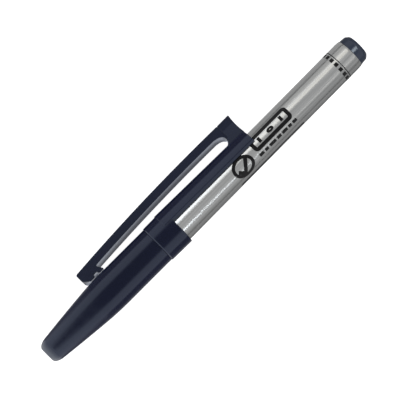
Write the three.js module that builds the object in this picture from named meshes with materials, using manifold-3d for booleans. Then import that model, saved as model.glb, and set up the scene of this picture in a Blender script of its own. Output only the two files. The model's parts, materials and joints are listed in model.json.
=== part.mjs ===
// Counterfeit detector pen: aluminium barrel, fibre nib and wick, and a cap that carries its pocket
// clip on a half-round spine over the barrel.
//
// Millimetres. Each piece is drawn in the pen's own frame: x runs along the barrel's axis from the
// flat end of the cap, y points from that axis to the clip, and z completes the frame. At the end the
// whole pen is laid down on the cap's mouth ring, the end of its spine and the edge of its clip.

import * as THREE from 'three';
import * as BufferGeometryUtils from 'three/addons/utils/BufferGeometryUtils.js';
import Module from 'manifold-3d';

const wasm = await Module();
wasm.setup();

// ---------------------------------------------------------------- driving dimensions

const PEN_LENGTH = 140;
const BARREL_RADIUS = 5.35;
const BARREL_WALL = 0.65;
const GAP = 0.3;
const SEGMENTS = 56;
const CURVE_STEPS = 6;
const LONG_CURVE_STEPS = 12;
// How far a cutting body reaches past the body it cuts.
const OVERRUN = 1;

// The cap's outside is centred a little towards the clip, so its wall is thicker under the spine,
// and its axis closes in on the barrel's axis towards the mouth.
const CAP_OFFSET = 1.22;
const CAP_LEAN = THREE.MathUtils.degToRad(0.407);
const CAP_END_RADIUS = 2.3;
const CAP_EDGE_LENGTH = 3;
const CAP_RADIUS = 6.5;
const CAP_WALL = 1.2;
const CAP_END_WALL = 1.8;
const CAP_TAPER_RADIUS = 3.95;
const CAP_START_SLOPE = 0.118;
const CAP_TAPER_SLOPE = 0.085;
const CAP_TAPER_END = 21.5;
const CAP_BLEND_END = 30.1;

// Inner cap. Every profile below is a list of [distance along the pen, radius].
const INNER_CAP_PROFILE = [
  [14, 0],
  [14, 2.3],
  [15, 2.65],
  [24, 3.5],
  [30.4, 3.6],
  [30.4, 2.75],
  [21, 2.75],
  [16, 2],
  [15.2, 0],
];
const INNER_CAP_RIM = [28.6, 30];
const INNER_CAP_PASSAGE = 3.2;

// Mouth ring, spine and clip block
const SHOULDER = 49.3;
const COLLAR_RADIUS = 6.75;
const MOUTH = 58.1;
const MOUTH_RADIUS = 6.87;
const BORE_CLEARANCE = 0.2;
const SPINE_START = 54.85;
const SPINE_START_RADIUS = 7.07;
const SPINE_END = 94.25;
const SPINE_END_RADIUS = 6.5;
const SPINE_DEPTH = 0.15;

// Clip
const CLIP_WIDTH = 5.2;
const CLIP_FREE_END = 24.1;
const CLIP_FREE_END_HEIGHT = 12.26;
const CLIP_CREST = 73.5;
const CLIP_CREST_HEIGHT = 14.03;
const CLIP_THICKNESS = 2.85;
const CLIP_PARTING = 89.6;
const SLOT_END = 88.8;
const SLOT_RADIUS = 2.28;
const SLOT_SWEEP = 3.3;
const BLOCK_END = 94.85;
const BLOCK_ROOT_END = 94.5;
const BLOCK_HOLLOW = 0.33;
const BLOCK_CORNER = 0.5;
// Share of a corner's size at which the middle of its arc lies in from both faces.
const CHAMFER_MIDDLE = 0.3;
const BLOCK_ROOT = 6.2;
const BLOCK_ROOT_WIDTH = 5.6;
const FOOT_TOE_HEIGHT = 9.1;
const FOOT_TOE = 26.2;
const FOOT_HEEL = 32.2;
const FOOT_HEEL_TOP = 30.7;
const FOOT_GROOVE = [28.1, 30];
const FOOT_GROOVE_DEPTH = 0.8;
const FOOT_ANKLE = 1.4;
const FOOT_TOE_RUN = 0.9;
const FREE_END_CORNER = 0.6;

// Ink system inside the barrel
const BARREL_START = 51.6;
const BARREL_END = 136.3;
// The barrel's end is rolled in over the plug: [distance before the end, how far it is drawn in].
const BARREL_ROLL = [[1.6, 0], [0.7, 0.056], [0, 0.14]];
const NOZZLE_START = 24.6;
const FLANGE_START = 50.3;
const FLANGE_RADIUS = 5.2;
const NOSE_PROFILE = [
  [NOZZLE_START, 2.15],
  [25.2, 2.4],
  [31.4, 2.45],
  [32.4, 2.75],
  [38, 3.9],
  [FLANGE_START, 4],
  [FLANGE_START, FLANGE_RADIUS],
];
const NOSE_STEM_END = 60;
const PLUG_STEM_START = 126.4;
const PLUG_STEM_WALL = 1;
const PLUG_EDGE_RADIUS = 5.08;
// The plug's domed face: [distance before the end, radius].
const PLUG_FACE = [[1.6, 4.87], [0.9, 4.62], [0.3, 4.1], [0, 3.4]];
const NIB_TIP = 17.6;
const NIB_RADIUS = 1.55;
const NIB_NOSE_LENGTH = 3.2;
const NIB_NOSE_STEPS = 5;
const NIB_BLUNTNESS = 0.25;
const NIB_TAIL = 65.5;
const RESERVOIR = [61.6, 125];
const RESERVOIR_RADIUS = 3.85;
const FILM_GAP = 0.2;
const FILM_WALL = 0.2;

// Pose on the table, on the mouth ring, the spine's end and the clip block: the clip dips below the
// horizontal, and the barrel's end dips below its front.
const CLIP_DIP = THREE.MathUtils.degToRad(17.6);
const BARREL_DIP = THREE.MathUtils.degToRad(0.95);

// ---------------------------------------------------------------- materials

function material(color, roughness, metalness = 0) {
  return new THREE.MeshStandardMaterial({ color, roughness, metalness });
}

const navyPlastic = material(0x1b2030, 0.28);
const slatePlastic = material(0x36404f, 0.3);
const aluminium = material(0xa9aaaa, 0.35, 1);
const naturalPlastic = material(0xe4e2da, 0.5);
const fibre = material(0xd9b98a, 0.95);
const wick = material(0xc79a5c, 0.95);
const film = material(0xdfe6ea, 0.3);
const sealPlastic = material(0xcfd3d6, 0.55);

// ---------------------------------------------------------------- solids

function solidFrom(geometry) {
  const bare = geometry.clone();
  bare.deleteAttribute('normal');
  bare.deleteAttribute('uv');
  const merged = BufferGeometryUtils.mergeVertices(bare, 1e-4);
  return new wasm.Manifold(new wasm.Mesh({
    numProp: 3,
    vertProperties: new Float32Array(merged.attributes.position.array),
    triVerts: new Uint32Array(merged.index.array),
  }));
}

function geometryFrom(solid) {
  const mesh = solid.getMesh();
  const geometry = new THREE.BufferGeometry();
  geometry.setAttribute('position', new THREE.BufferAttribute(mesh.vertProperties, 3));
  geometry.setIndex(new THREE.BufferAttribute(mesh.triVerts, 1));
  geometry.computeVertexNormals();
  return geometry;
}

// A turned body along x from [x, radius] points, from axis to axis or closed on themselves.
function turned(profile) {
  const points = profile.map(([x, radius]) => new THREE.Vector2(radius, x));
  return new THREE.LatheGeometry(points, SEGMENTS).rotateZ(-Math.PI / 2);
}

function rod(start, end, radius) {
  return turned([[start, 0], [start, radius], [end, radius], [end, 0]]);
}

function onCapAxis(geometry) {
  return geometry.rotateZ(-CAP_LEAN).translate(0, CAP_OFFSET, 0);
}

// A flat outline in the clip's plane, given its width along z.
function plate(outline, width) {
  const settings = { depth: width, bevelEnabled: false };
  return new THREE.ExtrudeGeometry(outline, settings).translate(0, 0, -width / 2);
}

function outlineOf(points) {
  return new THREE.Shape(points.map(([x, y]) => new THREE.Vector2(x, y)));
}

function piece(name, geometry, look) {
  const mesh = new THREE.Mesh(geometry, look);
  mesh.name = name;
  return mesh;
}

function lerp(from, to, count, at) {
  return Array.from({ length: count + 1 }, (_, i) => at(from + (to - from) * i / count));
}

// ---------------------------------------------------------------- cap

// Past its soft edge the cap is a taper that flattens evenly, then runs into a cylinder.
function capRadius(x) {
  if (x < CAP_TAPER_END) {
    const flattening = (CAP_START_SLOPE - CAP_TAPER_SLOPE) / CAP_TAPER_END / 2;
    return CAP_TAPER_RADIUS + (CAP_START_SLOPE - flattening * x) * x;
  }
  const blend = CAP_BLEND_END - CAP_TAPER_END;
  const rest = Math.max((CAP_BLEND_END - x) / blend, 0);
  return CAP_RADIUS - CAP_TAPER_SLOPE * blend / 2 * rest * rest;
}

function capEndEdge() {
  const drop = CAP_TAPER_RADIUS - CAP_END_RADIUS;
  return lerp(0, Math.PI / 2, CURVE_STEPS, (angle) => {
    const x = CAP_EDGE_LENGTH * (1 - Math.cos(angle));
    return [x, capRadius(x) - drop * (1 - Math.sin(angle))];
  });
}

function capShell() {
  const end = SHOULDER - GAP / 2;
  const outside = [
    [0, 0],
    ...capEndEdge(),
    ...lerp(2 * CAP_EDGE_LENGTH, CAP_BLEND_END, LONG_CURVE_STEPS, (x) => [x, capRadius(x)]),
    [end, CAP_RADIUS],
  ];
  const inside = [
    [end, CAP_RADIUS - CAP_WALL],
    ...lerp(CAP_BLEND_END, CAP_END_WALL, CURVE_STEPS, (x) => [x, capRadius(x) - CAP_WALL]),
    [CAP_END_WALL, 0],
  ];
  return onCapAxis(turned([...outside, ...inside]));
}

// Soft cup that closes over the nozzle, held in the cap shell by its rim.
function innerCap() {
  const [start, end] = INNER_CAP_RIM;
  const cup = solidFrom(turned(INNER_CAP_PROFILE));
  const rim = solidFrom(onCapAxis(rod(start, end, CAP_RADIUS - CAP_WALL - GAP)));
  const passage = solidFrom(rod(start - OVERRUN, end + OVERRUN, INNER_CAP_PASSAGE));
  return geometryFrom(cup.add(rim.subtract(passage)));
}

// ---------------------------------------------------------------- clip collar and clip arm

// Height of the clip's outer face above the barrel's axis: a long shallow arc, highest near the block.
function clipTop(x) {
  const fall = CLIP_CREST_HEIGHT - CLIP_FREE_END_HEIGHT;
  const reach = (x - CLIP_CREST) / (CLIP_CREST - CLIP_FREE_END);
  return CLIP_CREST_HEIGHT - fall * reach * reach;
}

const slotHeight = clipTop(SLOT_END) - CLIP_THICKNESS - SLOT_RADIUS;

// Part of the slot's rounded end, whose corner is drawn out to a length along the clip.
function slotArc(from, to, length) {
  return lerp(from, to, CURVE_STEPS, (angle) => [
    SLOT_END - length + length * Math.cos(angle),
    slotHeight + SLOT_RADIUS * Math.sin(angle),
  ]);
}

function blockOutline() {
  const top = clipTop(CLIP_PARTING);
  const seat = slotHeight - GAP;
  const face = CLIP_PARTING + GAP / 2;
  const height = top - BLOCK_ROOT;
  return outlineOf([
    ...lerp(BLOCK_ROOT, top - BLOCK_CORNER, CURVE_STEPS, (y) => {
      const t = (y - BLOCK_ROOT) / height;
      const straight = BLOCK_ROOT_END + (BLOCK_END - BLOCK_ROOT_END) * t;
      return [straight - BLOCK_HOLLOW * 4 * t * (1 - t), y];
    }),
    [BLOCK_END - BLOCK_CORNER * CHAMFER_MIDDLE, top - BLOCK_CORNER * CHAMFER_MIDDLE],
    [BLOCK_END - BLOCK_CORNER, top],
    [face, top],
    [face, seat],
    ...slotArc(-Math.asin(GAP / SLOT_RADIUS), -Math.PI / 2, SLOT_RADIUS),
    [SLOT_END - SLOT_RADIUS, BLOCK_ROOT],
  ]);
}

// The block is as wide as the clip beside it, and drafted wider towards the spine.
function clipBlock() {
  const shoulder = clipTop(CLIP_PARTING) - CLIP_THICKNESS;
  const top = clipTop(CLIP_PARTING) + OVERRUN;
  const half = CLIP_WIDTH / 2;
  const rootHalf = BLOCK_ROOT_WIDTH / 2;
  const section = outlineOf([
    [rootHalf, BLOCK_ROOT - OVERRUN],
    [rootHalf, BLOCK_ROOT],
    [half, shoulder],
    [half, top],
    [-half, top],
    [-half, shoulder],
    [-rootHalf, BLOCK_ROOT],
    [-rootHalf, BLOCK_ROOT - OVERRUN],
  ]);
  const draft = new THREE.ExtrudeGeometry(section, { depth: CLIP_PARTING, bevelEnabled: false })
    .rotateY(Math.PI / 2)
    .translate(SLOT_END / 2, 0, 0);
  return solidFrom(plate(blockOutline(), BLOCK_ROOT_WIDTH + OVERRUN)).intersect(solidFrom(draft));
}

// Half-round spine over the barrel, cut off a little short of its full half.
function spine() {
  const length = SPINE_END - SPINE_START;
  const height = 2 * SPINE_START_RADIUS;
  const round = turned([
    [SPINE_START, 0],
    [SPINE_START, SPINE_START_RADIUS],
    [SPINE_END, SPINE_END_RADIUS],
    [SPINE_END, 0],
  ]);
  const clipSide = new THREE.BoxGeometry(length + 2 * OVERRUN, height, 2 * height)
    .translate(SPINE_START + length / 2, height / 2 - SPINE_DEPTH, 0);
  return solidFrom(onCapAxis(round)).intersect(solidFrom(onCapAxis(clipSide)));
}

// Ring at the mouth, spine and the block that holds the clip, in one moulding.
function clipCollar() {
  const start = SHOULDER + GAP / 2;
  const ring = solidFrom(onCapAxis(turned([
    [start, 0],
    [start, COLLAR_RADIUS],
    [MOUTH, MOUTH_RADIUS],
    [MOUTH, 0],
  ])));
  const boreRadius = BARREL_RADIUS + BORE_CLEARANCE;
  const bore = solidFrom(rod(SHOULDER - OVERRUN, SPINE_END + OVERRUN, boreRadius));
  return geometryFrom(ring.add(spine()).add(clipBlock()).subtract(bore));
}

function armOutline() {
  const face = CLIP_PARTING - GAP / 2;
  const sole = CAP_RADIUS - OVERRUN;
  const ankle = sole + FOOT_ANKLE;
  const underside = (x) => [x, clipTop(x) - CLIP_THICKNESS];
  const crown = CLIP_FREE_END + FREE_END_CORNER;
  const soft = FREE_END_CORNER * CHAMFER_MIDDLE;
  return outlineOf([
    ...lerp(face, crown, LONG_CURVE_STEPS, (x) => [x, clipTop(x)]),
    [CLIP_FREE_END + soft, CLIP_FREE_END_HEIGHT - soft],
    [CLIP_FREE_END, CLIP_FREE_END_HEIGHT - FREE_END_CORNER],
    [CLIP_FREE_END, FOOT_TOE_HEIGHT],
    [CLIP_FREE_END + FOOT_TOE_RUN, FOOT_TOE_HEIGHT - FOOT_TOE_RUN],
    [FOOT_TOE, ankle],
    [FOOT_TOE, sole],
    [FOOT_HEEL, sole],
    [FOOT_HEEL, ankle],
    ...lerp(FOOT_HEEL_TOP, SLOT_END - SLOT_SWEEP, LONG_CURVE_STEPS, underside),
    ...slotArc(Math.PI / 2, 0, SLOT_SWEEP).slice(1),
    [face, slotHeight],
  ]);
}

// The foot is hollowed to the cap's round surface and has a shallow groove across its sole.
function clipArm() {
  const arm = solidFrom(plate(armOutline(), CLIP_WIDTH));
  const saddleRadius = CAP_RADIUS + GAP;
  const saddleStart = CLIP_FREE_END - OVERRUN;
  const saddle = solidFrom(onCapAxis(rod(saddleStart, FOOT_HEEL + OVERRUN, saddleRadius)));
  const groove = solidFrom(onCapAxis(rod(...FOOT_GROOVE, saddleRadius + FOOT_GROOVE_DEPTH)));
  return geometryFrom(arm.subtract(saddle).subtract(groove));
}

// ---------------------------------------------------------------- barrel and ink system

function barrelTube() {
  const bore = BARREL_RADIUS - BARREL_WALL;
  return turned([
    [BARREL_START, bore],
    [BARREL_START, BARREL_RADIUS],
    ...BARREL_ROLL.map(([before, drawnIn]) => [BARREL_END - before, BARREL_RADIUS - drawnIn]),
    [BARREL_END, bore],
    [BARREL_START, bore],
  ]);
}

// The plug's stem is hollow, so that air can move behind the wick.
function endPlug() {
  const stem = BARREL_RADIUS - BARREL_WALL - GAP;
  const hollow = stem - PLUG_STEM_WALL;
  const head = BARREL_END + GAP;
  return turned([
    [PLUG_STEM_START, hollow],
    [PLUG_STEM_START, stem],
    [head, stem],
    [head, PLUG_EDGE_RADIUS],
    ...PLUG_FACE.map(([before, radius]) => [PEN_LENGTH - before, radius]),
    [PEN_LENGTH, 0],
    [head, 0],
    [head, hollow],
    [PLUG_STEM_START, hollow],
  ]);
}

// Nose with a nozzle for the nib, a flange that stops on the barrel and a stem inside it.
function frontSection() {
  const stem = BARREL_RADIUS - BARREL_WALL - GAP;
  const bore = NIB_RADIUS + GAP;
  return turned([
    [NOZZLE_START, bore],
    ...NOSE_PROFILE,
    [BARREL_START - GAP, FLANGE_RADIUS],
    [BARREL_START - GAP, stem],
    [NOSE_STEM_END, stem],
    [NOSE_STEM_END, bore],
    [NOZZLE_START, bore],
  ]);
}

function nib() {
  return turned([
    [NIB_TIP, 0],
    ...lerp(NIB_BLUNTNESS, Math.PI / 2, NIB_NOSE_STEPS, (angle) => [
      NIB_TIP + NIB_NOSE_LENGTH * (1 - Math.cos(angle)),
      NIB_RADIUS * Math.sin(angle),
    ]),
    [NIB_TAIL, NIB_RADIUS],
    [NIB_TAIL, 0],
  ]);
}

// Fibre wick with a blind hole that takes the nib's tail.
function inkReservoir() {
  const [start, end] = RESERVOIR;
  return turned([
    [start, NIB_RADIUS + GAP],
    [start, RESERVOIR_RADIUS],
    [end, RESERVOIR_RADIUS],
    [end, 0],
    [NIB_TAIL + GAP, 0],
    [NIB_TAIL + GAP, NIB_RADIUS + GAP],
    [start, NIB_RADIUS + GAP],
  ]);
}

function reservoirFilm() {
  const [start, end] = RESERVOIR;
  const inside = RESERVOIR_RADIUS + FILM_GAP;
  return turned([
    [start, inside],
    [start, inside + FILM_WALL],
    [end, inside + FILM_WALL],
    [end, inside],
    [start, inside],
  ]);
}

// ---------------------------------------------------------------- assembly

const pen = new THREE.Group();
pen.add(
  piece('cap_shell', capShell(), navyPlastic),
  piece('clip_collar', clipCollar(), navyPlastic),
  piece('inner_cap', innerCap(), sealPlastic),
  piece('clip_arm', clipArm(), navyPlastic),
  piece('barrel_tube', barrelTube(), aluminium),
  piece('end_plug', endPlug(), slatePlastic),
  piece('front_section', frontSection(), naturalPlastic),
  piece('nib', nib(), fibre),
  piece('ink_reservoir', inkReservoir(), wick),
  piece('reservoir_film', reservoirFilm(), film),
);

// Laid down: rolled about its own axis, then dipped at the barrel's end, over the middle of its footprint.
pen.rotation.set(-CLIP_DIP, BARREL_DIP, 0, 'YXZ');
pen.updateMatrixWorld(true);
const footprint = new THREE.Box3().setFromObject(pen, true);
pen.position.set(
  -(footprint.min.x + footprint.max.x) / 2,
  -(footprint.min.y + footprint.max.y) / 2,
  -footprint.min.z,
);

const model = new THREE.Group();
model.add(pen);

export default model;
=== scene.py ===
import json
import math

import bmesh
import bpy
from mathutils import Matrix, Vector


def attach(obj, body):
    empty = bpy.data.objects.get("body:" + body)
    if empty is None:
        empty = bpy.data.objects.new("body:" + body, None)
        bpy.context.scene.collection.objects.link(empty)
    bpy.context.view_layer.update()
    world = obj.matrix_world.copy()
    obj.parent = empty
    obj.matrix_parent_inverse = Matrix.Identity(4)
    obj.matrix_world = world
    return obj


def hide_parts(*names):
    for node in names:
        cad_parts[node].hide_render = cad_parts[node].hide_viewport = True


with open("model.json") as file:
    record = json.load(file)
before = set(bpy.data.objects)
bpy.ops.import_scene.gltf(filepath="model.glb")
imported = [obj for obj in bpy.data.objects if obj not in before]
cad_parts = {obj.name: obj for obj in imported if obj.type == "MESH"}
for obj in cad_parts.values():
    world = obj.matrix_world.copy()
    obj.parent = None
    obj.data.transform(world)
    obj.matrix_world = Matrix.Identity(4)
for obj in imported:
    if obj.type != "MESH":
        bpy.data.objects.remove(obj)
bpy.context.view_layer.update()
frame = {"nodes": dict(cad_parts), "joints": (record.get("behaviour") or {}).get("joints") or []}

MM = 0.001
JOINTS = {joint["name"]: joint for joint in frame["joints"]}

# ---------------------------------------------------------------- sizes, in millimetres in the pen's frame
# x runs along the barrel's axis from the end of the cap, y points from that axis to the clip.

SEGMENTS = 144
PEN_LENGTH = 140.0
BARREL_RADIUS = 5.35
BARREL_BORE = 4.7
BARREL_START = 51.6
BARREL_END = 136.3
ROLLED_EDGE_LENGTH = 0.7
ROLLED_EDGE_RADIUS = 5.21
BORE_RADIUS = 5.55
SEAM = 0.03

PLUG_STEM_START = 126.4
PLUG_STEM_RADIUS = 4.4
PLUG_STEM_HOLLOW = 3.4
PLUG_RADIUS = 5.1
PLUG_EDGE_RADIUS = 4.9
PLUG_EDGE_LENGTH = 1.3
PLUG_FACE_RADIUS = 3.9
PLUG_DOME = 0.1

CAP_OFFSET = 1.22
CAP_LEAN = math.radians(0.407)
CAP_END_RADIUS = 2.3
CAP_EDGE_LENGTH = 3.0
CAP_RADIUS = 6.5
CAP_WALL = 1.2
CAP_FLOOR = 1.8
CAP_LIP = 0.5
CAP_LIP_FILLET = 0.12
CAP_TAPER_RADIUS = 3.95
CAP_START_SLOPE = 0.118
CAP_TAPER_SLOPE = 0.085
CAP_TAPER_END = 21.5
CAP_BLEND_END = 30.1

SHOULDER = 49.3
COLLAR_RADIUS = 6.75
COLLAR_EDGE = 0.5
COLLAR_SINK = 0.05
MOUTH = 58.1
MOUTH_RADIUS = 6.86
MOUTH_EDGE = 0.16
BORE_EDGE = 0.12
BORE_START_EDGE = 0.1
SPINE_START = 54.85
SPINE_START_RADIUS = 7.06
SPINE_END = 94.25
SPINE_END_RADIUS = 6.5
SPINE_DEPTH = 0.15
SPINE_BEVEL = 0.75
SPINE_LIP = 0.3
SPINE_END_EDGE = 0.18
SPINE_SIDE_FILLET = 0.5
SPINE_LIP_FILLET = 0.12
SPINE_BORE_FILLET = 0.06

CLIP_HALF_WIDTH = 2.6
CLIP_FREE_END = 24.1
CLIP_FREE_END_HEIGHT = 12.26
CLIP_CREST = 73.5
CLIP_CREST_HEIGHT = 14.03
CLIP_THICKNESS = 2.85
CLIP_PARTING = 89.6
SLOT_END = 88.8
SLOT_RADIUS = 2.28
SLOT_SWEEP = 3.3
BLOCK_END = 94.85
BLOCK_ROOT_END = 94.5
BLOCK_HOLLOW = 0.33
BLOCK_ROOT = 6.2
BLOCK_ROOT_HALF_WIDTH = 2.8
BLOCK_TIP_FILLET = 0.5
BLOCK_TIP_STRAIGHT = 0.7
BLOCK_INSET = 0.02
SLOT_END_FILLET = 0.05
FOOT_TOE_HEIGHT = 9.1
FOOT_TOE = 26.2
FOOT_HEEL = 32.2
FOOT_HEEL_TOP = 30.7
FOOT_GROOVE = (28.1, 30.0)
FOOT_GROOVE_DEPTH = 0.8
FOOT_GROOVE_SLANT = 0.25
CLIP_TIP_FILLET = 0.6
CLIP_TIP_SLANT = 0.1
TOE_FILLET = 0.9
SOLE_FILLET = 0.25
GROOVE_FILLET = 0.2
GROOVE_FLOOR_FILLET = 0.3
HEEL_FILLET = 0.4
# Where the clip's curve starts, past the corners at its tip and heel.
CURVE_CLEARANCE = 1.2
ARM_SEAT_FILLET = 0.08
FOOT_CLEARANCE = 0.3
SLAB_EDGE = 0.12
PARTING_EDGE = 0.3
# Heights above the block's shoulder of cuts across it, which keep the shading of the plain part flat.
DRAFT_CUTS = (0.0, 0.15, 0.6)

NIB_TIP = 17.6
NIB_POINT_LENGTH = 3.2
NIB_RADIUS = 1.55
NIB_TAIL = 65.5
NOZZLE_BORE = 1.8
NOZZLE_START = 24.6
FLANGE_START = 50.3
FLANGE_RADIUS = 5.2
NOSE_STEM_END = 60.0
NOSE_STEM_RADIUS = 4.4
# The nozzle's outside from its tip to the flange: x, radius, fillet.
NOZZLE = (
    (NOZZLE_START, 2.15, 0.25),
    (25.2, 2.4, 0.3),
    (31.4, 2.45, 0.5),
    (32.4, 2.75, 0.6),
    (38.0, 3.9, 2.5),
    (FLANGE_START, 4.0, 0.3),
)


def clip_top(x):
    """Height of the clip's outer face above the barrel's axis."""
    fall = CLIP_CREST_HEIGHT - CLIP_FREE_END_HEIGHT
    reach = (x - CLIP_CREST) / (CLIP_CREST - CLIP_FREE_END)
    return CLIP_CREST_HEIGHT - fall * reach * reach


def cap_radius(x):
    """The cap's radius past its soft end: a taper that flattens evenly, then runs into a cylinder."""
    if x < CAP_TAPER_END:
        flattening = (CAP_START_SLOPE - CAP_TAPER_SLOPE) / CAP_TAPER_END / 2
        return CAP_TAPER_RADIUS + (CAP_START_SLOPE - flattening * x) * x
    rest = max(1 - (x - CAP_TAPER_END) / (CAP_BLEND_END - CAP_TAPER_END), 0.0)
    return CAP_RADIUS - CAP_TAPER_SLOPE * (CAP_BLEND_END - CAP_TAPER_END) / 2 * rest * rest


def on_cap_axis(x, y, z):
    """A point of a body turned on the cap's axis, which closes in on the barrel's axis."""
    cos, sin = math.cos(CAP_LEAN), math.sin(CAP_LEAN)
    return (x * cos + y * sin, y * cos - x * sin + CAP_OFFSET, z)


def cap_axis_height(x):
    return CAP_OFFSET - x * math.tan(CAP_LEAN)


def pen_matrix():
    """The pen's own frame, from the axes of its two joints and the place of the clip's hinge."""
    along = -Vector(JOINTS["cap_pull_off"]["axis"]).normalized()
    across = -Vector(JOINTS["clip_flex"]["axis"]).normalized()
    to_clip = across.cross(along).normalized()
    hinge = Vector(JOINTS["clip_flex"]["pos_m"])
    start = hinge - along * CLIP_PARTING * MM - to_clip * clip_top(CLIP_PARTING) * MM
    matrix = Matrix((along, to_clip, across)).transposed().to_4x4()
    matrix.translation = start
    return matrix


PEN = pen_matrix()

# ---------------------------------------------------------------- outlines

# A fillet takes less than half of either side, so that fillets at both ends of a side fit.
FILLET_SHARE = 0.48
SHARPEST_BLEND = 0.4
ON_AXIS = 1e-6


def spread(start, end, count):
    return [start + (end - start) * i / count for i in range(count + 1)]


def rounded(points, steps=5, closed=True):
    """Corners of (x, y, fillet radius) points become arcs; a fillet of 0 stays a corner."""
    out = []
    count = len(points)
    for i, (x, y, fillet) in enumerate(points):
        here = Vector((x, y))
        if fillet <= 0 or (not closed and i in (0, count - 1)):
            out.append((x, y))
            continue
        before = Vector(points[i - 1][:2]) - here
        after = Vector(points[(i + 1) % count][:2]) - here
        half = before.angle(after) / 2
        longest = min(before.length, after.length) * FILLET_SHARE
        reach = min(fillet / math.tan(half), longest)
        radius = reach * math.tan(half)
        centre = here + (before.normalized() + after.normalized()).normalized() * radius / math.sin(half)
        first = (here + before.normalized() * reach - centre) / radius
        last = (here + after.normalized() * reach - centre) / radius
        out += [tuple(centre + first.slerp(last, t) * radius) for t in spread(0.0, 1.0, steps)]
    return out


def inset(points, distance):
    """The outline moved inwards by a distance, point by point; the outline runs anticlockwise."""
    out = []
    count = len(points)
    for i in range(count):
        here = Vector(points[i])
        before = (here - Vector(points[i - 1])).normalized()
        after = (Vector(points[(i + 1) % count]) - here).normalized()
        normal_before = Vector((-before.y, before.x))
        normal_after = Vector((-after.y, after.x))
        blend = max(1 + normal_before.dot(normal_after), SHARPEST_BLEND)
        out.append(tuple(here + (normal_before + normal_after) * distance / blend))
    return out


def anticlockwise(points):
    area = sum(
        points[i - 1][0] * points[i][1] - points[i][0] * points[i - 1][1] for i in range(len(points))
    )
    return points if area > 0 else points[::-1]


# ---------------------------------------------------------------- meshes


def skin(rings, closed):
    """A mesh from rings of equal numbers of points; a ring of one point closes an end."""
    bm = bmesh.new()
    made = [[bm.verts.new(Vector(p) * MM) for p in ring] for ring in rings]
    pairs = list(zip(made, made[1:] + made[:1])) if closed else list(zip(made, made[1:]))
    for low, high in pairs:
        count = max(len(low), len(high))
        for i in range(count):
            j = (i + 1) % count
            corners = [low[i % len(low)], low[j % len(low)], high[j % len(high)], high[i % len(high)]]
            face = list(dict.fromkeys(corners))
            if len(face) > 2:
                bm.faces.new(face)
    if not closed:
        for ring in (made[0], made[-1]):
            if len(ring) > 2:
                bm.faces.new(ring)
    bmesh.ops.recalc_face_normals(bm, faces=bm.faces)
    return bm


def ring(x, radius):
    if radius <= ON_AXIS:
        return [(x, 0.0, 0.0)]
    turns = (2 * math.pi * i / SEGMENTS for i in range(SEGMENTS))
    return [(x, radius * math.cos(a), radius * math.sin(a)) for a in turns]


def cap_ring(x, radius):
    return [on_cap_axis(*point) for point in ring(x, radius)]


def turned(profile, closed=False, ring_at=ring):
    """A turned body from (x, radius, fillet) points, closed on itself or from axis to axis."""
    return skin([ring_at(x, r) for x, r in rounded(profile, closed=closed)], closed)


def slab(outline_at, half_width, edge, slices=12, steps=4):
    """A plate in the clip's plane with rounded long edges; outline_at(z) gives its outline at z."""
    flat = half_width - edge
    turns = spread(0.0, math.pi / 2, steps)
    levels = [(-flat - edge * math.cos(a), edge * (1 - math.sin(a))) for a in turns]
    levels += [(z, 0.0) for z in spread(-flat, flat, slices)[1:-1]]
    levels += [(flat + edge * math.sin(a), edge * (1 - math.cos(a))) for a in turns]
    rings = []
    for z, depth in levels:
        outline = inset(anticlockwise(outline_at(z)), depth)
        rings.append([(x, y, z) for x, y in outline])
    return skin(rings, closed=False)


def drafted(bm, top, root, growth):
    """Widens a plate along z from none at the height top to a growth at the height root."""
    for rise in DRAFT_CUTS:
        everything = [*bm.verts, *bm.edges, *bm.faces]
        cut = (0, (top + rise) * MM, 0)
        bmesh.ops.bisect_plane(bm, geom=everything, plane_co=cut, plane_no=(0, 1, 0))
    for vertex in bm.verts:
        share = (top * MM - vertex.co.y) / ((top - root) * MM)
        vertex.co.z *= 1 + growth * min(max(share, 0.0), 1.0)
    return bm


def smooth(mesh, sharp_degrees=32):
    for polygon in mesh.polygons:
        polygon.use_smooth = True
    mesh.set_sharp_from_angle(angle=math.radians(sharp_degrees))


def object_from(name, bm):
    mesh = bpy.data.meshes.new(name)
    bm.to_mesh(mesh)
    bm.free()
    obj = bpy.data.objects.new(name, mesh)
    bpy.context.scene.collection.objects.link(obj)
    return obj


def united(base, *others):
    """The base object joined with the others in one closed mesh."""
    for other in others:
        join = base.modifiers.new("join", "BOOLEAN")
        join.operation = "UNION"
        join.solver = "EXACT"
        join.object = other
    bpy.context.view_layer.update()
    mesh = bpy.data.meshes.new_from_object(base.evaluated_get(bpy.context.evaluated_depsgraph_get()))
    base.modifiers.clear()
    base.data = mesh
    for other in others:
        bpy.data.objects.remove(other)
    return base


def finished(obj, body, slot, material, *nodes):
    """Shades a piece, lays it down with the pen and ties it to the frame."""
    obj.data.transform(PEN)
    smooth(obj.data)
    obj.data.materials.clear()
    obj.data.materials.append(material)
    weighted = obj.modifiers.new("even_shading", "WEIGHTED_NORMAL")
    weighted.keep_sharp = True
    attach(obj, body)
    if nodes:
        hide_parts(*nodes)
    return obj


# ---------------------------------------------------------------- materials


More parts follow.
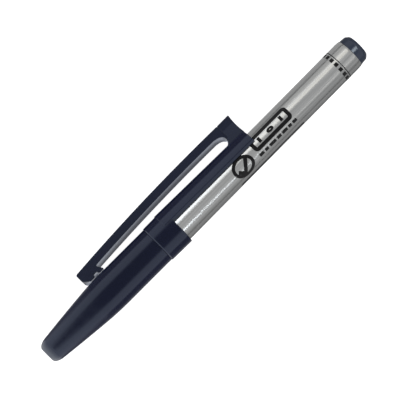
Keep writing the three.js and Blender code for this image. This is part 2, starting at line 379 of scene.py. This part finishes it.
class Shader:
    """A node material with one Principled shader, whose patterns run in the pen's own frame."""

    def __init__(self, name):
        self.material = bpy.data.materials.new(name)
        self.material.use_nodes = True
        self.tree = self.material.node_tree
        self.surface = self.tree.nodes["Principled BSDF"]
        pen_frame = self.tree.nodes.new("ShaderNodeMapping")
        pen_frame.vector_type = "TEXTURE"
        pen_frame.inputs["Location"].default_value = PEN.translation
        pen_frame.inputs["Rotation"].default_value = PEN.to_euler()
        here = self.tree.nodes.new("ShaderNodeTexCoord").outputs["Object"]
        self.tree.links.new(here, pen_frame.inputs["Vector"])
        self.place = pen_frame.outputs["Vector"]

    def put(self, **values):
        for name, value in values.items():
            self.surface.inputs[name.replace("_", " ")].default_value = value

    def stretched(self, scale):
        mapping = self.tree.nodes.new("ShaderNodeMapping")
        mapping.inputs["Scale"].default_value = scale
        self.tree.links.new(self.place, mapping.inputs["Vector"])
        return mapping.outputs["Vector"]

    def noise(self, scale, detail=3.0, vector=None):
        node = self.tree.nodes.new("ShaderNodeTexNoise")
        node.inputs["Scale"].default_value = scale
        node.inputs["Detail"].default_value = detail
        self.tree.links.new(vector or self.place, node.inputs["Vector"])
        return node.outputs["Fac"]

    def ramp(self, value, low, high, first, last):
        node = self.tree.nodes.new("ShaderNodeMapRange")
        for name, number in (("From Min", low), ("From Max", high), ("To Min", first), ("To Max", last)):
            node.inputs[name].default_value = number
        self.tree.links.new(value, node.inputs["Value"])
        return node.outputs["Result"]

    def colours(self, value, first, last):
        node = self.tree.nodes.new("ShaderNodeMix")
        node.data_type = "RGBA"
        for name, colour in (("A", first), ("B", last)):
            if isinstance(colour, tuple):
                node.inputs[name].default_value = (*colour, 1.0)
            else:
                self.tree.links.new(colour, node.inputs[name])
        self.tree.links.new(value, node.inputs["Factor"])
        return node.outputs["Result"]

    def near_cap_end(self, full, none):
        """1 up to the distance full from the end of the cap, falling to 0 at the distance none."""
        split = self.tree.nodes.new("ShaderNodeSeparateXYZ")
        self.tree.links.new(self.place, split.inputs["Vector"])
        return self.ramp(split.outputs["X"], full * MM, none * MM, 1.0, 0.0)

    def link(self, output, name):
        self.tree.links.new(output, self.surface.inputs[name])

    def bump(self, height, distance, strength=1.0):
        node = self.tree.nodes.new("ShaderNodeBump")
        node.inputs["Distance"].default_value = distance
        node.inputs["Strength"].default_value = strength
        self.tree.links.new(height, node.inputs["Height"])
        self.link(node.outputs["Normal"], "Normal")


def moulded(name, dark, light, roughness, specular, tint=(1.0, 1.0, 1.0), waves=0.25, painted_highlight=None):
    """Glossy moulded plastic: faint flow marks in its colour and a slightly uneven polish.

    A painted highlight, a lighter colour standing in for a reflection, can be put on the soft edge round
    the end of the cap.
    """
    shader = Shader(name)
    flow = shader.noise(90.0, 4.0, shader.stretched((0.35, 1.0, 1.0)))
    colour = shader.colours(shader.ramp(flow, 0.35, 0.65, 0.0, 1.0), dark, light)
    # Painted highlight: the soft end of the cap gets a lighter colour where a reflection brightens it.
    if painted_highlight:
        colour = shader.colours(shader.near_cap_end(*PAINTED_HIGHLIGHT_LENGTH), colour, painted_highlight)
    shader.link(colour, "Base Color")
    polish = shader.noise(700.0, 3.0)
    shader.link(shader.ramp(polish, 0.3, 0.7, roughness * 0.85, roughness * 1.2), "Roughness")
    shader.bump(shader.noise(260.0, 2.0), 0.00002, waves)
    shader.put(Specular_IOR_Level=specular, Specular_Tint=(*tint, 1.0))
    return shader.material


def brushed_aluminium():
    """Aluminium brushed along the barrel: long fine lines that scatter light across it."""
    shader = Shader("brushed_aluminium")
    fine = shader.noise(1.0, 2.0, shader.stretched((5.0, 5200.0, 5200.0)))
    broad = shader.noise(1.0, 2.0, shader.stretched((14.0, 900.0, 900.0)))
    tone = shader.ramp(broad, 0.3, 0.7, 0.0, 1.0)
    shader.link(shader.colours(tone, (0.33, 0.335, 0.335), (0.46, 0.465, 0.465)), "Base Color")
    shader.link(shader.ramp(fine, 0.3, 0.7, 0.17, 0.27), "Roughness")
    shader.bump(fine, 0.00002, 0.03)
    shader.put(Metallic=1.0)
    return shader.material


def fibrous(name, dark, light, scale):
    shader = Shader(name)
    strands = shader.noise(1.0, 4.0, shader.stretched((scale * 0.08, scale, scale)))
    shader.link(shader.colours(shader.ramp(strands, 0.3, 0.7, 0.0, 1.0), dark, light), "Base Color")
    shader.bump(strands, 0.00006, 0.6)
    shader.put(Roughness=0.9, Specular_IOR_Level=0.2)
    return shader.material


def printing_ink():
    shader = Shader("printing_ink")
    grain = shader.noise(2500.0, 2.0)
    shader.link(shader.colours(grain, (0.004, 0.004, 0.005), (0.012, 0.012, 0.013)), "Base Color")
    shader.link(shader.ramp(grain, 0.3, 0.7, 0.4, 0.55), "Roughness")
    shader.put(Specular_IOR_Level=0.3)
    return shader.material


# Painted highlight on the cap's soft end, in place of a reflection: distances from the end where it is full
# and where it is gone, then its colour.
PAINTED_HIGHLIGHT_LENGTH = (0.9, 2.45)
PAINTED_HIGHLIGHT_COLOUR = (0.09, 0.096, 0.114)
# Two colours, roughness, specular level and tint of the cap's plastic.
NAVY_LOOK = ((0.005, 0.0065, 0.023), (0.007, 0.0085, 0.028), 0.16, 0.8, (0.69, 0.8, 1.0))
NAVY = moulded("navy_plastic", *NAVY_LOOK)
# The cap's plastic, with the painted highlight on its soft end.
NAVY_CAP = moulded("navy_cap_plastic", *NAVY_LOOK, painted_highlight=PAINTED_HIGHLIGHT_COLOUR)
SLATE = moulded("slate_plastic", (0.017, 0.021, 0.033), (0.024, 0.029, 0.043), 0.2, 0.35, waves=0.06)
WHITE = moulded("natural_plastic", (0.62, 0.6, 0.54), (0.7, 0.68, 0.62), 0.4, 0.4)
SEAL = moulded("seal_plastic", (0.5, 0.52, 0.53), (0.58, 0.6, 0.61), 0.45, 0.3)
FILM = moulded("clear_film", (0.62, 0.66, 0.68), (0.7, 0.74, 0.76), 0.2, 0.5)
METAL = brushed_aluminium()
NIB = fibrous("nib_fibre", (0.5, 0.33, 0.14), (0.72, 0.52, 0.28), 2600.0)
WICK = fibrous("wick_fibre", (0.32, 0.17, 0.05), (0.5, 0.3, 0.11), 1500.0)
INK = printing_ink()

# ---------------------------------------------------------------- cap


def cap_shell():
    end = SHOULDER - SEAM / 2
    drop = CAP_TAPER_RADIUS - CAP_END_RADIUS
    nose = []
    for angle in spread(0.0, math.pi / 2, 20):
        x = CAP_EDGE_LENGTH * (1 - math.cos(angle))
        nose.append((x, cap_radius(x) - drop * (1 - math.sin(angle)), 0))
    taper = [(x, cap_radius(x), 0) for x in spread(CAP_EDGE_LENGTH, CAP_TAPER_END, 12)[1:]]
    blend = [(x, cap_radius(x), 0) for x in spread(CAP_TAPER_END, CAP_BLEND_END, 12)[1:]]
    body = [(x, CAP_RADIUS, 0) for x in spread(CAP_BLEND_END, end - CAP_LIP, 8)[1:]]
    inside = [(x, cap_radius(x) - CAP_WALL, 0) for x in spread(end - CAP_LIP, CAP_FLOOR, 14)]
    profile = [(0, 0, 0), *nose, *taper, *blend, *body, (end, CAP_RADIUS, CAP_LIP_FILLET)]
    profile += [(end, CAP_RADIUS - CAP_WALL, CAP_LIP_FILLET), *inside, (CAP_FLOOR, 0, 0)]
    cap = object_from("cap_shell_skin", turned(profile, ring_at=cap_ring))
    return finished(cap, "cap", "navy_plastic", NAVY_CAP, "cap_shell")


def mouth_ring():
    """Ring round the barrel, its outside centred on the cap and its bore on the barrel."""
    start = SHOULDER + SEAM / 2
    step = COLLAR_RADIUS - CAP_RADIUS + COLLAR_SINK
    edge = [
        (start + COLLAR_EDGE * (1 - math.cos(a)), COLLAR_RADIUS - step * (1 - math.sin(a)))
        for a in spread(0.0, math.pi / 2, 8)
    ]
    mouth_edge = rounded(
        [(MOUTH - 1, MOUTH_RADIUS, 0), (MOUTH, MOUTH_RADIUS, MOUTH_EDGE), (MOUTH, BORE_RADIUS, 0)],
        closed=False,
    )
    rings = [cap_ring(x, r) for x, r in edge + mouth_edge[:-1]]
    rings += [ring(MOUTH, BORE_RADIUS + BORE_EDGE), ring(MOUTH - BORE_EDGE, BORE_RADIUS)]
    rings += [ring(start + BORE_START_EDGE, BORE_RADIUS), ring(start, BORE_RADIUS + BORE_START_EDGE)]
    return object_from("mouth_ring", skin(rings, closed=True))


def spine_section(x, depth):
    """The spine's half-round section at x with bevelled lower edges, drawn in by a depth all round."""
    share = (x - SPINE_START) / (SPINE_END - SPINE_START)
    outer = SPINE_START_RADIUS + (SPINE_END_RADIUS - SPINE_START_RADIUS) * share - depth
    inner = BORE_RADIUS + depth
    centre = cap_axis_height(x)
    edge = centre - SPINE_DEPTH + depth
    reach = math.acos((edge + SPINE_BEVEL - centre) / outer)
    fold = math.acos(edge / inner)
    lip = math.sqrt(inner * inner - edge * edge) + SPINE_LIP
    outside = [(centre + outer * math.cos(a), outer * math.sin(a), 0) for a in spread(-reach, reach, 72)]
    inside = [(inner * math.cos(a), inner * math.sin(a), 0) for a in spread(fold, -fold, 60)]
    for end in (0, -1):
        outside[end] = (*outside[end][:2], SPINE_SIDE_FILLET)
        inside[end] = (*inside[end][:2], SPINE_BORE_FILLET)
    outline = [*outside, (edge, lip, SPINE_LIP_FILLET), *inside, (edge, -lip, SPINE_LIP_FILLET)]
    return [(x, y, z) for y, z in rounded(outline, steps=4)]


def spine():
    edge = SPINE_END_EDGE
    turns = spread(0.0, math.pi / 2, 4)
    stations = [(SPINE_START + edge * (1 - math.cos(a)), edge * (1 - math.sin(a))) for a in turns]
    stations += [(x, 0.0) for x in spread(SPINE_START + edge, SPINE_END - edge, 16)[1:-1]]
    stations += [(SPINE_END - edge * (1 - math.sin(a)), edge * (1 - math.cos(a))) for a in turns]
    return object_from("spine", skin([spine_section(x, d) for x, d in stations], closed=False))


SLOT_Y = clip_top(SLOT_END) - CLIP_THICKNESS - SLOT_RADIUS


def slot_arc(start, end, length):
    """Part of the slot's rounded end, whose corner is drawn out to a length along the clip."""
    return [
        (SLOT_END - length + length * math.cos(a), SLOT_Y + SLOT_RADIUS * math.sin(a), 0)
        for a in spread(start, end, 12)
    ]


def block_outline(_):
    face = CLIP_PARTING + SEAM / 2
    top = clip_top(CLIP_PARTING)
    seat = SLOT_Y - SEAM
    root = BLOCK_ROOT
    end_face = []
    for y in spread(root, top - BLOCK_TIP_STRAIGHT, 14):
        t = (y - root) / (top - root)
        straight_end = BLOCK_ROOT_END + (BLOCK_END - BLOCK_ROOT_END) * t
        end_face.append((straight_end - BLOCK_HOLLOW * 4 * t * (1 - t), y, 0))
    return rounded(
        [
            *end_face,
            (BLOCK_END - BLOCK_INSET, top, BLOCK_TIP_FILLET),
            (face, top, PARTING_EDGE),
            (face, seat, PARTING_EDGE),
            (SLOT_END - BLOCK_INSET, seat, SLOT_END_FILLET),
            *slot_arc(-0.2, -math.pi / 2, SLOT_RADIUS),
            (SLOT_END - SLOT_RADIUS, root, 0),
        ]
    )


def clip_collar():
    shoulder = clip_top(CLIP_PARTING) - CLIP_THICKNESS
    growth = BLOCK_ROOT_HALF_WIDTH / CLIP_HALF_WIDTH - 1
    plate = slab(block_outline, CLIP_HALF_WIDTH, SLAB_EDGE)
    block = object_from("block", drafted(plate, shoulder, BLOCK_ROOT, growth))
    collar = united(mouth_ring(), spine(), block)
    collar.name = "clip_collar_skin"
    return finished(collar, "cap", "navy_plastic", NAVY, "clip_collar")


def sole(x, z, clearance):
    """Height of a face that follows the cap's round surface at a clearance."""
    return cap_axis_height(x) + math.sqrt((CAP_RADIUS + clearance) ** 2 - z * z)


def arm_outline(z):
    face = CLIP_PARTING - SEAM / 2
    near = sole(FOOT_HEEL, z, FOOT_CLEARANCE)
    deep = sole(FOOT_HEEL, z, FOOT_CLEARANCE + FOOT_GROOVE_DEPTH)
    groove_start, groove_end = FOOT_GROOVE
    under = [
        (x, clip_top(x) - CLIP_THICKNESS, 0)
        for x in spread(FOOT_HEEL_TOP + CURVE_CLEARANCE, SLOT_END - SLOT_SWEEP, 24)
    ]
    return rounded(
        [
            (face, clip_top(face), PARTING_EDGE),
            *((x, clip_top(x), 0) for x in spread(CLIP_PARTING - 1.0, CLIP_FREE_END + CURVE_CLEARANCE, 30)),
            (CLIP_FREE_END, CLIP_FREE_END_HEIGHT, CLIP_TIP_FILLET),
            (CLIP_FREE_END + CLIP_TIP_SLANT, FOOT_TOE_HEIGHT, TOE_FILLET),
            (FOOT_TOE, near, SOLE_FILLET),
            (groove_start, near, GROOVE_FILLET),
            (groove_start + FOOT_GROOVE_SLANT, deep, GROOVE_FLOOR_FILLET),
            (groove_end - FOOT_GROOVE_SLANT, deep, GROOVE_FLOOR_FILLET),
            (groove_end, near, GROOVE_FILLET),
            (FOOT_HEEL, near, SOLE_FILLET),
            (FOOT_HEEL_TOP, clip_top(FOOT_HEEL_TOP) - CLIP_THICKNESS, HEEL_FILLET),
            *under,
            *slot_arc(math.pi / 2, 0.1, SLOT_SWEEP)[1:],
            (SLOT_END, SLOT_Y, ARM_SEAT_FILLET),
            (face, SLOT_Y, PARTING_EDGE),
        ]
    )


def clip_arm():
    arm = object_from("clip_arm_skin", slab(arm_outline, CLIP_HALF_WIDTH, SLAB_EDGE))
    return finished(arm, "clip", "navy_plastic", NAVY, "clip_arm")


# ---------------------------------------------------------------- barrel


def barrel():
    profile = [
        (BARREL_START, BARREL_BORE, 0.05),
        (BARREL_START, BARREL_RADIUS, 0.15),
        *((x, BARREL_RADIUS, 0) for x in spread(BARREL_START + 1, BARREL_END - 1.6, 20)),
        (BARREL_END - ROLLED_EDGE_LENGTH, BARREL_RADIUS - 0.05, 0.6),
        (BARREL_END, ROLLED_EDGE_RADIUS, 0.08),
        (BARREL_END, BARREL_BORE, 0.05),
    ]
    tube = object_from("barrel_skin", turned(profile, closed=True))
    return finished(tube, "barrel", "brushed_aluminium", METAL, "barrel_tube")


def end_plug():
    shoulder = BARREL_END + SEAM
    profile = [
        (shoulder, 0, 0),
        (shoulder, PLUG_STEM_HOLLOW, 0),
        (PLUG_STEM_START, PLUG_STEM_HOLLOW, 0.1),
        (PLUG_STEM_START, PLUG_STEM_RADIUS, 0.2),
        (shoulder, PLUG_STEM_RADIUS, 0),
        (shoulder, PLUG_RADIUS, 0.08),
        (PEN_LENGTH - PLUG_EDGE_LENGTH, PLUG_EDGE_RADIUS, 1.2),
        (PEN_LENGTH - PLUG_DOME, PLUG_FACE_RADIUS, 1.0),
        (PEN_LENGTH, 0, 0),
    ]
    plug = object_from("end_plug_skin", turned(profile))
    return finished(plug, "barrel", "slate_plastic", SLATE, "end_plug")


# ---------------------------------------------------------------- nose, nib and ink system


def front_section():
    profile = [
        (NOZZLE_START, NOZZLE_BORE, 0.12),
        *NOZZLE,
        (FLANGE_START, FLANGE_RADIUS, 0.2),
        (BARREL_START - SEAM, FLANGE_RADIUS, 0.12),
        (BARREL_START - SEAM, NOSE_STEM_RADIUS, 0),
        (NOSE_STEM_END, NOSE_STEM_RADIUS, 0.3),
        (NOSE_STEM_END, NOZZLE_BORE, 0.1),
    ]
    nose = object_from("front_section_skin", turned(profile, closed=True))
    return finished(nose, "barrel", "natural_plastic", WHITE, "front_section")


def nib():
    nose = [
        (NIB_TIP + NIB_POINT_LENGTH * (1 - math.cos(a)), NIB_RADIUS * math.sin(a), 0)
        for a in spread(0.0, math.pi / 2, 16)
    ]
    profile = [*nose, (NIB_TAIL, NIB_RADIUS, 0.1), (NIB_TAIL, 0, 0)]
    tip = object_from("nib_skin", turned(profile))
    return finished(tip, "barrel", "nib_fibre", NIB, "nib")


def carried_over(node, material):
    """A CAD node that stays, with a finished material."""
    obj = frame["nodes"][node]
    obj.data.materials.clear()
    obj.data.materials.append(material)


def inner_pieces():
    front_section()
    nib()
    carried_over("inner_cap", SEAL)
    carried_over("ink_reservoir", WICK)
    carried_over("reservoir_film", FILM)


# ---------------------------------------------------------------- print on the barrel
# Drawn on the unrolled barrel: x along the pen, w round the barrel from the side seen from above,
# towards the clip. Generic marks in the place of printed matter; none is a letter.

PRINT_LOW = 0.005
PRINT_HIGH = 0.03
TICK_START = (83.4, -1.5)
TICK_FOOT = (85.1, -3.3)
TICK_END = (88.5, 0.8)
TICK_STROKE = 1.3
RING_MIDDLE = (85.95, -1.2)
RING_REACH = (3.6, 2.95)
RING_STROKE = 1.1
NOTE_CORNER = (92.65, -0.63)
NOTE_FAR_CORNER = (107.95, 3.16)
NOTE_STROKE = 1.3
DISC_MIDDLE = (100.3, 1.27)
DISC_REACH = (1.0, 0.45)
DISC_STROKE = 0.75
BARS = (95.5, 105.1)
BAR_LOW = 0.35
BAR_HIGH = 2.2
BAR_STROKE = 1.1
# The dashes under the banknote: start, length.
DASHES = ((92.1, 1.9), (94.6, 1.4), (96.7, 2.7), (100.0, 1.7), (102.3, 2.2), (105.1, 1.3), (107.0, 1.7))
DASH_ROW = -2.55
DASH_STROKE = 1.1
RULE_START = 81.8
RULE_END = 109.8
RULE_ROW = -6.3
RULE_STROKE = 0.8
DASHED_BAND = 129.8
DASHED_BAND_STROKE = 1.3
BAND_DASHES = 16
BAND_DASH_SHARE = 0.62
THIN_BAND = 131.0
THIN_BAND_STROKE = 0.3
# The barrel's highest line lies a little off its z axis, because the pen rests on its clip.
PRINT_TURN = math.atan2(PEN[2][1], PEN[2][2])


def wrapped(x, w, height):
    """A point of the unrolled print at a height over the barrel."""
    turn = w / BARREL_RADIUS + PRINT_TURN
    radius = BARREL_RADIUS + height
    return (x, radius * math.sin(turn), radius * math.cos(turn))


def stroke(path, width, closed=False):
    """A printed line of even width along a path on the unrolled barrel."""
    rings = []
    count = len(path)
    across = spread(-width / 2, width / 2, 6)
    for i in range(count):
        before = path[i - 1] if closed or i > 0 else path[i]
        after = path[(i + 1) % count] if closed or i < count - 1 else path[i]
        run = (Vector(after) - Vector(before)).normalized()
        side = Vector((-run.y, run.x))
        line = [Vector(path[i]) + side * offset for offset in across]
        top = [wrapped(*point, PRINT_HIGH) for point in line]
        bottom = [wrapped(*point, PRINT_LOW) for point in reversed(line)]
        rings.append(top + bottom)
    return skin(rings, closed)


def straight(x0, w0, x1, w1, count=10):
    return [(x0 + (x1 - x0) * t, w0 + (w1 - w0) * t) for t in spread(0.0, 1.0, count)]


def oval(x, w, across, around, count=48):
    turns = (2 * math.pi * i / count for i in range(count))
    return [(x + across * math.cos(a), w + around * math.sin(a)) for a in turns]


def box_path(x0, w0, x1, w1, corner=0.8):
    corners = [(x0, w0, corner), (x1, w0, corner), (x1, w1, corner), (x0, w1, corner)]
    outline = []
    soft = rounded(corners, steps=6)
    for start, end in zip(soft, soft[1:] + soft[:1]):
        outline += straight(*start, *end, 6)[:-1]
    return outline


def printed(name, *strokes):
    """All strokes of one mark as one piece that rides on the barrel."""
    whole = bmesh.new()
    for bm in strokes:
        mesh = bpy.data.meshes.new(name)
        bm.to_mesh(mesh)
        bm.free()
        whole.from_mesh(mesh)
        bpy.data.meshes.remove(mesh)
    mark = object_from(name, whole)
    mark.data.transform(PEN)
    mark.data.materials.append(INK)
    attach(mark, "barrel")


def check_mark():
    """A tick in a ring: the note is good."""
    tick = straight(*TICK_START, *TICK_FOOT, 8)[:-1] + straight(*TICK_FOOT, *TICK_END, 14)
    printed(
        "check_mark",
        stroke(oval(*RING_MIDDLE, *RING_REACH), RING_STROKE, closed=True),
        stroke(tick, TICK_STROKE),
    )


def banknote():
    """The outline of a banknote with a disc in its middle and a bar at either end."""
    bars = (stroke(straight(x, BAR_LOW, x, BAR_HIGH), BAR_STROKE) for x in BARS)
    printed(
        "banknote",
        stroke(box_path(*NOTE_CORNER, *NOTE_FAR_CORNER), NOTE_STROKE, closed=True),
        stroke(oval(*DISC_MIDDLE, *DISC_REACH), DISC_STROKE, closed=True),
        *bars,
    )


def dashes():
    """A row of short dashes under the banknote and a thin rule below it."""
    marks = [stroke(straight(x, DASH_ROW, x + run, DASH_ROW, 3), DASH_STROKE) for x, run in DASHES]
    printed("dashes", *marks)
    printed("rule", stroke(straight(RULE_START, RULE_ROW, RULE_END, RULE_ROW, 12), RULE_STROKE))


def end_bands():
    """Two bands round the rear of the barrel: one of dashes and one thin line."""
    pitch = 2 * math.pi * BARREL_RADIUS / BAND_DASHES
    dash = [
        straight(DASHED_BAND, i * pitch, DASHED_BAND, (i + BAND_DASH_SHARE) * pitch, 6)
        for i in range(BAND_DASHES)
    ]
    printed("dashed_band", *(stroke(path, DASHED_BAND_STROKE) for path in dash))
    whole = [(THIN_BAND, i * pitch / 6) for i in range(BAND_DASHES * 6)]
    printed("thin_band", stroke(whole, THIN_BAND_STROKE, closed=True))


def print_on_barrel():
    check_mark()
    banknote()
    dashes()
    end_bands()


# ---------------------------------------------------------------- stage, lights and camera

FLOOR_REACH = 1.5
FLOOR_GLOW = 0.92
LAMP_DISTANCE = 0.5
VIEW_DISTANCE = 0.8
VIEW_WIDTH = 0.12739
VIEW_MIDDLE = 69.05
VIEW_FOOT = 30.0
VIEW_SIDE = 1.29
TURN = math.radians(45.4)

# The light tent from straight below to straight above: height of the direction, brightness.
TENT = (
    (-1.0, 0.3),
    (-0.8, 0.3),
    (-0.6, 0.12),
    (0.0, 0.12),
    (0.07, 0.67),
    (0.72, 0.67),
    (0.84, 0.14),
    (1.0, 0.14),
)
COOL = (0.9, 0.95, 1.0)
WARM = (1.0, 0.97, 0.9)
WHITE_LIGHT = (1.0, 1.0, 1.0)
PLUG_LIGHT = (0.82, 0.92, 1.0)
# Lamps for the barrel: name, degrees from the zenith, metres along the table, width, length, radiance.
METAL_LAMPS = (
    ("front_strip", 39, -0.08, 0.27, 0.24, 3.9, COOL),
    ("rear_strip", 31, 0.17, 0.21, 0.26, 1.5, WARM),
    ("low_front_strip", -40, -0.08, 0.03, 0.24, 9.2, COOL),
    ("rear_side_strip", 60, 0.17, 0.3, 0.26, 0.32, WARM),
    ("low_rear_strip", -38, 0.17, 0.07, 0.26, 0.55, WARM),
    ("overhead", -8, 0.0, 0.56, 0.8, 0.57, WHITE_LIGHT),
    ("under_clip_side", 122, 0.0, 0.5, 0.8, 0.5, WHITE_LIGHT),
    ("under_barrel_side", -112, 0.0, 0.3, 0.8, 0.4, WHITE_LIGHT),
)
PLUG_LAMP = (-2, 0.2, 0.18, 0.5, 10.5)
UNDER_CLIP_COLOUR = (0.86, 0.9, 1.0)
UNDER_CLIP_MIDDLE = 59.0
UNDER_CLIP_LENGTH = 0.075
UNDER_CLIP_TURN = math.radians(2.0)
ABOVE_TABLE = 0.0005
# Across the table from the barrel's axis, in millimetres: start, end, radiance.
UNDER_CLIP_STRIPS = ((-2.0, 7.2, 1.1), (7.2, 7.9, 0.35), (7.9, 10.5, 0.08))
# Its front wall, past the end of the cap, leans over the pen and bends back at its sides.
FRONT_WALL = (0.235, 0.285)
FRONT_BEND = 0.136
FRONT_FOOT = (-0.8, -0.7)
FRONT_BRIGHTNESS = 0.95


def floor():
    """A pale translucent table top, lit a little from underneath."""
    bm = bmesh.new()
    corners = ((-FLOOR_REACH, -FLOOR_REACH), (FLOOR_REACH, -FLOOR_REACH))
    corners += ((FLOOR_REACH, FLOOR_REACH), (-FLOOR_REACH, FLOOR_REACH))
    bm.faces.new([bm.verts.new((x, y, 0.0)) for x, y in corners])
    stage = object_from("floor", bm)
    shader = Shader("pale_floor")
    shader.put(Base_Color=(0.86, 0.86, 0.86, 1.0), Roughness=0.8, Specular_IOR_Level=0.1)
    shader.put(Emission_Color=(1.0, 1.0, 1.0, 1.0), Emission_Strength=FLOOR_GLOW)
    stage.data.materials.append(shader.material)
    stage.visible_glossy = False
    stage.visible_shadow = False


def calculated(nodes, links, operation, *values):
    """The output of a math node fed with sockets or numbers."""
    node = nodes.new("ShaderNodeMath")
    node.operation = operation
    for socket, value in zip(node.inputs, values):
        if isinstance(value, float):
            socket.default_value = value
        else:
            links.new(value, socket)
    return node.outputs["Value"]


def tent():
    """Even light from a tent round the table, open at the top where the camera looks in."""
    world = bpy.data.worlds.new("tent")
    world.use_nodes = True
    nodes, links = world.node_tree.nodes, world.node_tree.links
    direction = nodes.new("ShaderNodeTexCoord").outputs["Generated"]
    split = nodes.new("ShaderNodeSeparateXYZ")
    links.new(direction, split.inputs["Vector"])
    share = nodes.new("ShaderNodeMapRange")
    share.inputs["From Min"].default_value = -1.0
    links.new(split.outputs["Z"], share.inputs["Value"])
    ramp = nodes.new("ShaderNodeValToRGB")
    links.new(share.outputs["Result"], ramp.inputs["Fac"])
    stops = ramp.color_ramp.elements
    while len(stops) < len(TENT):
        stops.new(0.5)
    for stop, (height, brightness) in zip(stops, TENT):
        stop.position = (height + 1) / 2
        stop.color = (brightness, brightness, brightness, 1.0)
    bend = calculated(nodes, links, "ABSOLUTE", split.outputs["Y"])
    bend = calculated(nodes, links, "MULTIPLY", bend, FRONT_BEND)
    depth = calculated(nodes, links, "SUBTRACT", bend, split.outputs["X"])
    front = nodes.new("ShaderNodeMapRange")
    front.inputs["From Min"].default_value, front.inputs["From Max"].default_value = FRONT_WALL
    front.inputs["To Max"].default_value = FRONT_BRIGHTNESS
    links.new(depth, front.inputs["Value"])
    above = nodes.new("ShaderNodeMapRange")
    above.inputs["From Min"].default_value, above.inputs["From Max"].default_value = FRONT_FOOT
    links.new(split.outputs["Z"], above.inputs["Value"])
    wall = calculated(nodes, links, "MULTIPLY", front.outputs["Result"], above.outputs["Result"])
    brightest = calculated(nodes, links, "MAXIMUM", ramp.outputs["Color"], wall)
    links.new(brightest, nodes["Background"].inputs["Color"])
    bpy.context.scene.world = world


def only(name, *pieces):
    """A collection of the pieces that a lamp lights."""
    collection = bpy.data.collections.new(name)
    for piece in pieces:
        collection.objects.link(piece)
    return collection


def lamp(name, angle, along, width, length, radiance, receivers, colour):
    """A long light over the pen, at an angle from the zenith towards the clip's side."""
    data = bpy.data.lights.new(name, "AREA")
    data.shape = "RECTANGLE"
    data.size, data.size_y = length, width
    data.energy = radiance * math.pi * length * width
    data.color = colour
    obj = bpy.data.objects.new(name, data)
    bpy.context.scene.collection.objects.link(obj)
    lean = math.radians(angle)
    obj.location = (along, LAMP_DISTANCE * math.sin(lean), LAMP_DISTANCE * math.cos(lean))
    obj.rotation_euler = (-lean, 0, 0)
    obj.visible_camera = False
    obj.light_linking.receiver_collection = receivers
    return obj


def glow_under_clip(arm):
    """Strips of light along the table in the gap under the clip, brightest next to the barrel."""
    receivers = only("clip_side_of_arm", arm)
    middle = PEN @ (Vector((UNDER_CLIP_MIDDLE, 0.0, 0.0)) * MM)
    for start, end, radiance in UNDER_CLIP_STRIPS:
        width = (end - start) * MM
        size = (width, UNDER_CLIP_LENGTH)
        glow = lamp("under_clip", 180, middle.x, *size, radiance, receivers, UNDER_CLIP_COLOUR)
        glow.location.y = middle.y + (start + end) / 2 * MM
        glow.location.z = ABOVE_TABLE
        glow.rotation_euler.z = UNDER_CLIP_TURN


def lights(metal, arm, plug):
    tent()
    bpy.context.scene.view_settings.view_transform = "Standard"
    on_metal = only("metal", metal)
    for name, angle, along, width, length, radiance, colour in METAL_LAMPS:
        lamp(name, angle, along, width, length, radiance, on_metal, colour)
    lamp("plug_strip", *PLUG_LAMP, only("plug", plug), PLUG_LIGHT)
    glow_under_clip(arm)


def camera():
    middle = PEN @ (Vector((VIEW_MIDDLE, VIEW_SIDE, 0)) * MM)
    foot = PEN @ (Vector((VIEW_FOOT, VIEW_SIDE, 0)) * MM)
    stand = Vector((foot.x, middle.y, middle.z + VIEW_DISTANCE))
    forward = (middle - stand).normalized()
    upward = Vector((math.sin(TURN), math.cos(TURN), 0))
    right = forward.cross(upward).normalized()
    up = right.cross(forward)
    data = bpy.data.cameras.new("camera")
    data.sensor_width = 36.0
    data.lens = data.sensor_width * (middle - stand).length / VIEW_WIDTH
    data.clip_start = 0.01
    eye = bpy.data.objects.new("camera", data)
    eye.matrix_world = Matrix((right, up, -forward)).transposed().to_4x4()
    eye.location = stand
    bpy.context.scene.collection.objects.link(eye)
    bpy.context.scene.camera = eye


cap_shell()
clip_collar()
arm_skin = clip_arm()
barrel_skin = barrel()
plug_skin = end_plug()
inner_pieces()
print_on_barrel()
floor()
lights(barrel_skin, arm_skin, plug_skin)
camera()
